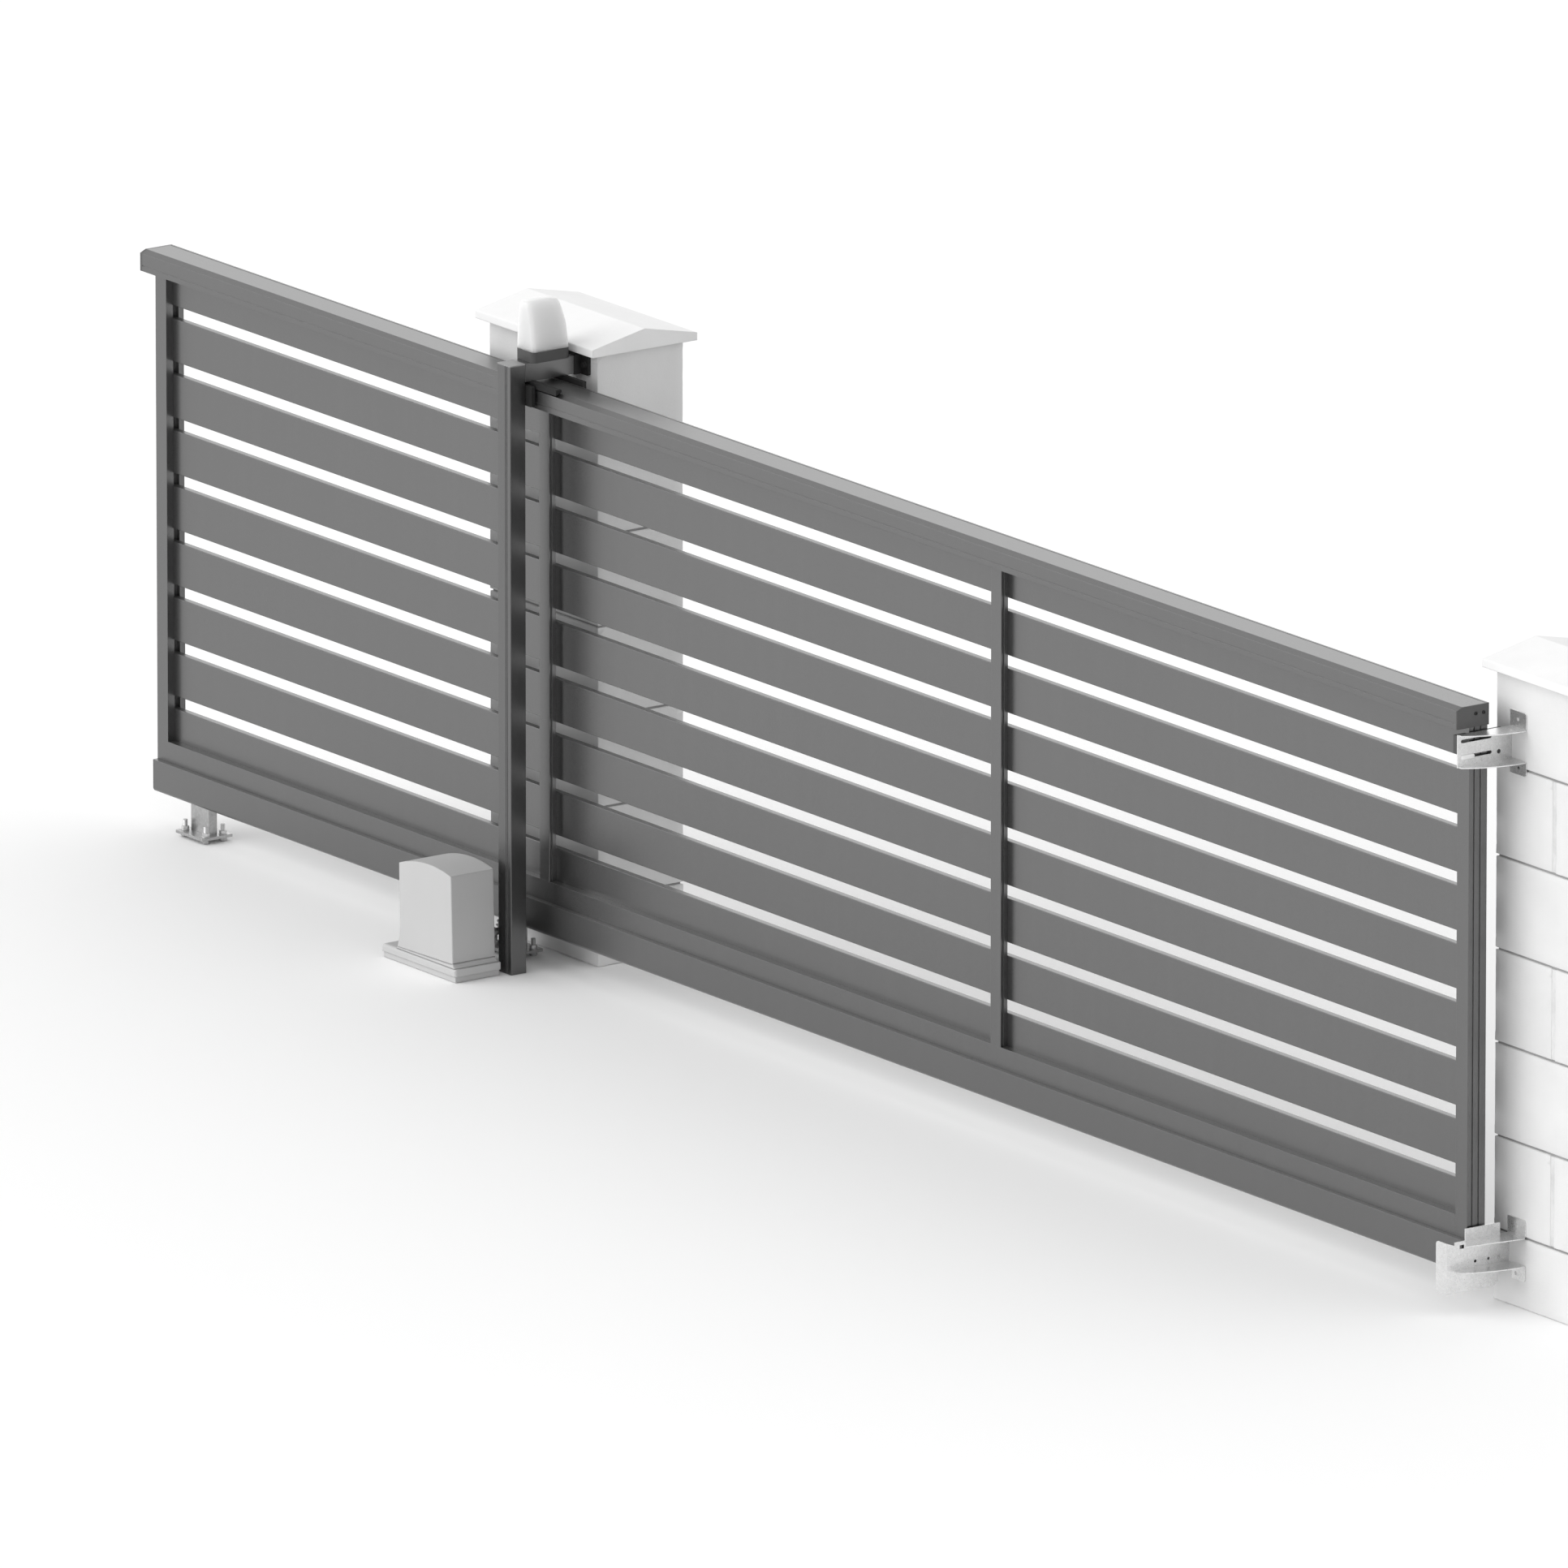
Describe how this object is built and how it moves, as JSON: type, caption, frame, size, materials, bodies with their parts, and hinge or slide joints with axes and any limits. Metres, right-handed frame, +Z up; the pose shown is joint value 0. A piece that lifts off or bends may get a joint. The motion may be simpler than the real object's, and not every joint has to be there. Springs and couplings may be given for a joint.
{
  "type": "sliding driveway gate",
  "caption": "Self-supporting sliding gate of horizontal slats on roller carriages, with guide post and arm, rack-driven gear motor, warning lamp, catches and block pillars.",
  "frame": {"origin": "centre of the guide post's flat foot, on the ground", "axes": "+X along the leaf in the closing direction, +Y from the guide post to the pillars, +Z up"},
  "size_m": [6.429, 0.721, 1.845],
  "materials": {
    "anthracite": "matt powder coat on aluminium extrusions",
    "anthracite_cap": "matt powder coat on end plates",
    "grey_cap": "pale moulded cap",
    "black_steel": "black painted steel",
    "nylon": "black nylon",
    "galvanised": "galvanised sheet with faint spangle",
    "lamp_base": "dark moulded base",
    "lamp_lens": "milky moulded lens",
    "motor_plastic": "light grey moulded shell",
    "gear_cast": "die-cast gearbox nose",
    "gear_steel": "dark oiled steel teeth",
    "block": "smooth pale concrete block",
    "coping": "white cast concrete"
  },
  "bodies": {
    "posts": {"guide_post": "anthracite", "guide_post_cap": "grey_cap", "portal_arm": "anthracite", "arm_wall_plate": "black_steel", "front_guide_shoe": "nylon", "rear_guide_shoe": "nylon", "front_guide_pad": "nylon", "lamp_base": "lamp_base", "lamp_dome": "lamp_lens", "motor_base": "motor_plastic", "motor_cover": "motor_plastic", "motor_gear_nose": "gear_cast", "rear_carriage_base": "galvanised", "rear_carriage_truck": "galvanised", "rear_carriage_axle_a": "nylon", "rear_carriage_axle_b": "nylon", "front_carriage_base": "galvanised", "front_carriage_truck": "galvanised", "front_carriage_axle_a": "nylon", "front_carriage_axle_b": "nylon", "upper_catch": "galvanised", "upper_guide_block": "nylon", "upper_guide_block_rear": "nylon", "lower_catch": "galvanised", "inner_pillar": "block", "inner_pillar_coping": "coping", "closing_pillar": "block", "closing_pillar_coping": "coping"},
    "leaf": {"bottom_beam": "anthracite", "beam_rear_cap": "anthracite_cap", "beam_front_cap": "anthracite_cap", "bottom_rail": "anthracite", "rear_stile": "anthracite", "front_stile": "anthracite", "top_cap_rail": "anthracite", "cap_rear_plate": "anthracite_cap", "cap_front_plate": "anthracite_cap", "slat_1": "anthracite", "slat_2": "anthracite", "slat_3": "anthracite", "slat_4": "anthracite", "slat_5": "anthracite", "slat_6": "anthracite", "slat_7": "anthracite", "slat_8": "anthracite", "slat_9": "anthracite", "inner_mullion": "anthracite", "middle_mullion": "anthracite", "drive_rack": "gear_steel"},
    "pinion": {"drive_pinion": "gear_steel"}
  },
  "joints": [
    {"name": "leaf_slide", "type": "slide", "parent": "posts", "child": "leaf", "axis": [-1, 0, 0], "range_m": [0, 4.05]},
    {"name": "pinion_spin", "type": "hinge", "parent": "posts", "child": "pinion", "pos_m": [-0.155, 0.088, 0.069], "axis": [0, -1, 0], "range_deg": [0, 6450]}
  ],
  "couplings": [
    {"joint": "pinion_spin", "follows": "leaf_slide", "rad_per_m": 27.778}
  ]
}
